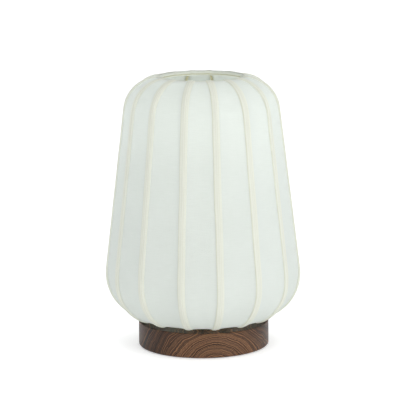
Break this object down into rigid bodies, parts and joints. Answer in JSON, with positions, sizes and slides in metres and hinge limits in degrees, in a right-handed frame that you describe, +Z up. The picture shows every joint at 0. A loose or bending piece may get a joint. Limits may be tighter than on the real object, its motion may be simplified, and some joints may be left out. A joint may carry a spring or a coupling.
{
  "type": "table lamp",
  "caption": "Table lamp with a ribbed, tapered cloth lantern shade that lifts off a round dark wooden base, over a screw-in bulb.",
  "frame": {"origin": "centre of the underside that rests on the table", "axes": "+Z up along the axis of base, bulb and shade; -Y towards the viewer of the picture; +Y out of the cord inlet at the back; +X to the right"},
  "size_m": [0.2242, 0.2228, 0.3127],
  "materials": {
    "walnut": "satin",
    "felt": "matte",
    "steel": "satin",
    "iron": "matte",
    "dark_metal": "satin",
    "holder_plastic": "satin",
    "ceramic": "gloss",
    "brass": "satin",
    "solder": "satin",
    "black_glass": "gloss",
    "nickel": "satin",
    "clear_glass": "gloss",
    "phosphor": "matte",
    "white_wire": "satin",
    "cream_tape": "matte",
    "shade_cloth": "matte",
    "black_plastic": "satin",
    "black_rocker": "gloss",
    "blue_wire": "satin",
    "brown_wire": "satin"
  },
  "bodies": {
    "base": {"base_body": "walnut", "felt_pad": "felt", "bottom_plate": "steel", "plate_screws": "steel", "ballast_disc": "iron", "threaded_tube": "steel", "tube_nuts": "steel", "tube_washer": "steel", "canopy": "dark_metal", "holder_cap": "holder_plastic", "holder_skirt": "holder_plastic", "holder_core": "ceramic", "holder_shell": "brass", "holder_contact": "brass", "cord_bushing": "black_plastic", "bushing_nut": "black_plastic", "switch_housing": "black_plastic", "switch_terminals": "brass", "terminal_block": "ceramic", "wire_neutral": "blue_wire", "wire_live_switched": "brown_wire", "wire_live_feed": "brown_wire"},
    "shade": {"frame_top_ring": "white_wire", "frame_bottom_ring": "white_wire", "frame_ribs": "white_wire", "fitter_ring": "white_wire", "spider_arms": "white_wire", "rib_tapes": "cream_tape", "top_binding": "cream_tape", "bottom_binding": "cream_tape", "panel_01": "shade_cloth", "panel_02": "shade_cloth", "panel_03": "shade_cloth", "panel_04": "shade_cloth", "panel_05": "shade_cloth", "panel_06": "shade_cloth", "panel_07": "shade_cloth", "panel_08": "shade_cloth", "panel_09": "shade_cloth", "panel_10": "shade_cloth", "panel_11": "shade_cloth", "panel_12": "shade_cloth", "panel_13": "shade_cloth", "panel_14": "shade_cloth"},
    "bulb": {"bulb_contact": "solder", "bulb_insulator": "black_glass", "bulb_cap": "nickel", "bulb_globe": "clear_glass", "bulb_stem": "clear_glass", "bulb_filaments": "phosphor"},
    "rocker": {"switch_rocker": "black_rocker"}
  },
  "joints": [
    {"name": "shade_lift", "type": "slide", "parent": "base", "child": "shade", "axis": [0, 0, 1], "range_m": [0, 0.145]},
    {"name": "bulb_out", "type": "slide", "parent": "base", "child": "bulb", "axis": [0, 0, 1], "range_m": [0, 0.255]},
    {"name": "switch_tilt", "type": "hinge", "parent": "base", "child": "rocker", "pos_m": [0.0468, 0.05577, 0.0148], "axis": [-0.766, 0.6428, 0], "range_deg": [-22, 0]}
  ]
}
